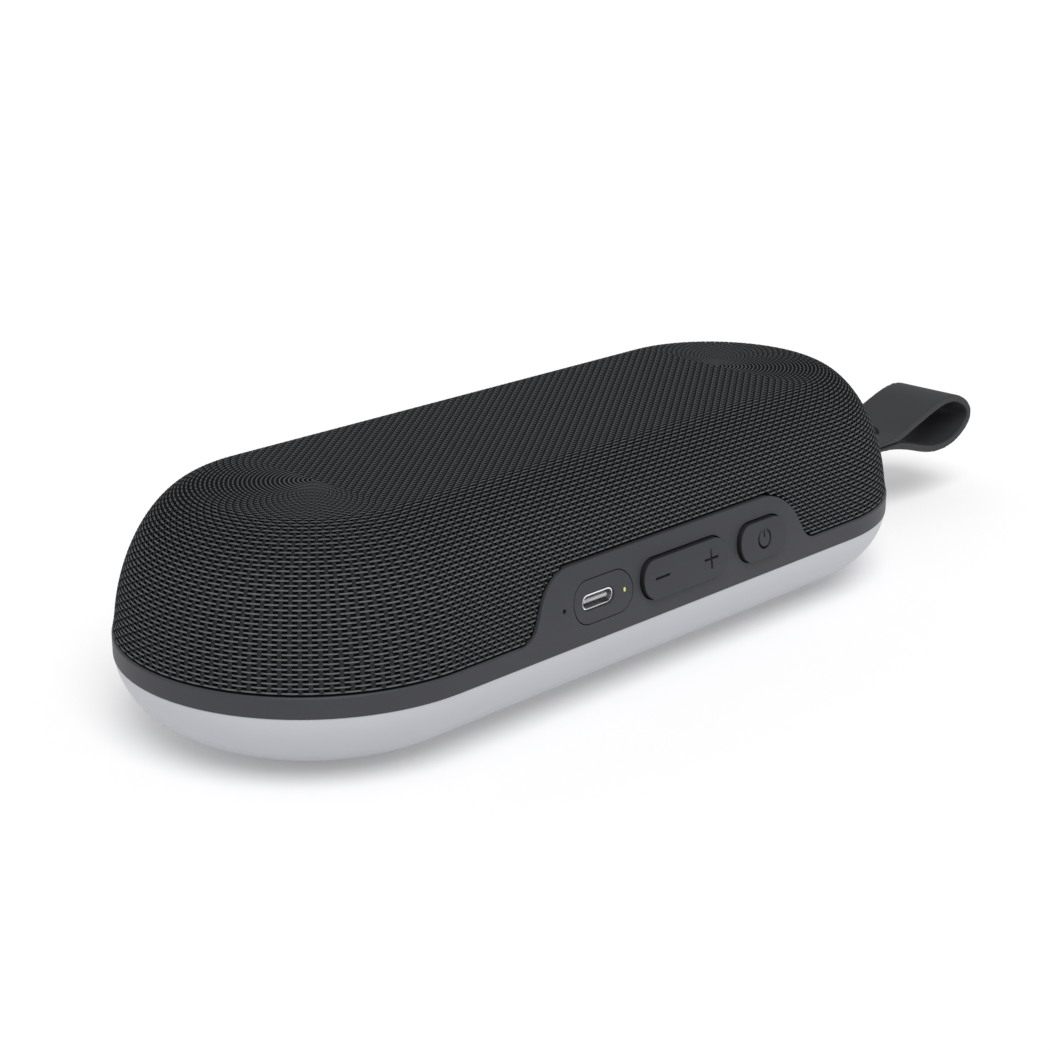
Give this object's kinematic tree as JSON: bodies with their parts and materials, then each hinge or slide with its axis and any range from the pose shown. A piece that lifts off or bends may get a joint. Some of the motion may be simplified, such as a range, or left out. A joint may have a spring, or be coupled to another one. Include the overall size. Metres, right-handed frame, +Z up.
{
  "type": "portable speaker",
  "caption": "Oval portable speaker with a bowl-shaped base, woven dome cover, front panel with volume rocker, power key and charging port, and a strap loop at one end.",
  "frame": {"origin": "on the surface it stands on, under the middle of the body (not of the body with its strap)", "axes": "+X along the body to the strap, -Y the side with the keys and the port, +Z up"},
  "size_m": [0.2557, 0.0813, 0.0488],
  "materials": {
    "shell_plastic": "fine moulded texture, light grey",
    "foot_rubber": "matt black rubber",
    "seal_rubber": "matt black rubber",
    "band_plastic": "fine moulded texture, dark grey",
    "screw_steel": "zinc plated",
    "grille_plastic": "black moulded plastic",
    "woven_cover": "open plain weave of dark yarn, two greys",
    "baffle_plastic": "black moulded plastic",
    "basket_steel": "black painted steel",
    "magnet_ferrite": "dark ceramic magnet",
    "yoke_steel": "zinc plated steel",
    "spider_cloth": "resin-stiffened cloth",
    "surround_rubber": "thin black rubber",
    "cone_paper": "coated paper",
    "cap_plastic": "smooth dome",
    "coil_former": "copper wire on an aluminium former",
    "radiator_metal": "satin",
    "cell_wrap": "shrink-wrapped metal can",
    "cradle_plastic": "black moulded plastic",
    "board_green": "solder mask over fibreglass",
    "part_black": "moulded chip bodies",
    "insert_plastic": "fine moulded texture, dark grey",
    "port_steel": "bright rolled steel",
    "tongue_plastic": "black moulded plastic",
    "led_lens": "lit lens",
    "mic_can": "pressed can",
    "key_rubber": "soft-touch dark grey",
    "pin_steel": "ground steel",
    "lug_plastic": "glass-filled dark plastic",
    "strap_rubber": "matt silicone rubber, dark grey",
    "lead_wire": "insulated wire",
    "flex_film": "polyimide film"
  },
  "bodies": {
    "housing": {"base_shell": "shell_plastic", "foot_pad": "foot_rubber", "seal_ring": "seal_rubber", "mid_frame": "band_plastic", "frame_screws": "screw_steel", "grille_frame": "grille_plastic", "fabric_cover": "woven_cover", "baffle_plate": "baffle_plastic", "baffle_screws": "screw_steel", "left_driver_frame": "basket_steel", "right_driver_frame": "basket_steel", "driver_top_plates": "yoke_steel", "driver_magnets": "magnet_ferrite", "driver_yokes": "yoke_steel", "driver_gaskets": "seal_rubber", "driver_screws": "screw_steel", "left_spider": "spider_cloth", "right_spider": "spider_cloth", "left_surround": "surround_rubber", "right_surround": "surround_rubber", "radiator_frame": "basket_steel", "radiator_surround": "surround_rubber", "front_battery_cell": "cell_wrap", "rear_battery_cell": "cell_wrap", "battery_cradle": "cradle_plastic", "main_board": "board_green", "board_parts": "part_black", "board_screws": "screw_steel", "control_board": "board_green", "control_screws": "screw_steel", "port_insert": "insert_plastic", "port_seal": "seal_rubber", "usb_shell": "port_steel", "usb_tongue": "tongue_plastic", "status_led": "led_lens", "light_pipe": "led_lens", "microphone": "mic_can", "mic_tube": "seal_rubber", "switch_bodies": "part_black", "rocker_pin": "pin_steel", "strap_lug": "lug_plastic", "strap_pin": "pin_steel", "speaker_leads": "lead_wire", "battery_lead": "lead_wire", "control_flex": "flex_film"},
    "strap_loop": {"strap": "strap_rubber"},
    "volume_key": {"volume_rocker": "key_rubber"},
    "power_button": {"power_key": "key_rubber"},
    "minus_switch_tip": {"minus_plunger": "part_black"},
    "plus_switch_tip": {"plus_plunger": "part_black"},
    "power_switch_tip": {"power_plunger": "part_black"},
    "left_cone_unit": {"left_cone": "cone_paper", "left_dust_cap": "cap_plastic", "left_voice_coil": "coil_former"},
    "right_cone_unit": {"right_cone": "cone_paper", "right_dust_cap": "cap_plastic", "right_voice_coil": "coil_former"},
    "radiator_unit": {"radiator_plate": "radiator_metal"}
  },
  "joints": [
    {"name": "strap_swing", "type": "hinge", "parent": "housing", "child": "strap_loop", "pos_m": [0.1075, 0, 0.0184], "axis": [0, -1, 0], "range_deg": [-18, 80]},
    {"name": "volume_rock", "type": "hinge", "parent": "housing", "child": "volume_key", "pos_m": [0.003, -0.0355, 0.0244], "axis": [0, 0, 1], "range_deg": [-2.4, 2.4], "stiffness_Nm_per_rad": 0.43},
    {"name": "power_press", "type": "slide", "parent": "housing", "child": "power_button", "axis": [0, 1, 0], "range_m": [0, 0.00045], "stiffness_N_per_m": 4000},
    {"name": "minus_click", "type": "slide", "parent": "housing", "child": "minus_switch_tip", "axis": [0, 1, 0], "range_m": [-0.0004, 0.0004]},
    {"name": "plus_click", "type": "slide", "parent": "housing", "child": "plus_switch_tip", "axis": [0, 1, 0], "range_m": [-0.0004, 0.0004]},
    {"name": "power_click", "type": "slide", "parent": "housing", "child": "power_switch_tip", "axis": [0, 1, 0], "range_m": [0, 0.0005]},
    {"name": "left_cone_travel", "type": "slide", "parent": "housing", "child": "left_cone_unit", "axis": [0, 0, 1], "range_m": [-0.0015, 0.0015], "stiffness_N_per_m": 1500, "deforming": ["left_surround", "left_spider"]},
    {"name": "right_cone_travel", "type": "slide", "parent": "housing", "child": "right_cone_unit", "axis": [0, 0, 1], "range_m": [-0.0015, 0.0015], "stiffness_N_per_m": 1500, "deforming": ["right_surround", "right_spider"]},
    {"name": "radiator_travel", "type": "slide", "parent": "housing", "child": "radiator_unit", "axis": [0, 0, 1], "range_m": [-0.002, 0.002], "stiffness_N_per_m": 1000, "deforming": ["radiator_surround"]}
  ],
  "couplings": [
    {"joint": "minus_click", "follows": "volume_rock", "m_per_rad": -0.009},
    {"joint": "plus_click", "follows": "volume_rock", "m_per_rad": 0.009},
    {"joint": "power_click", "follows": "power_press", "ratio": 1}
  ]
}
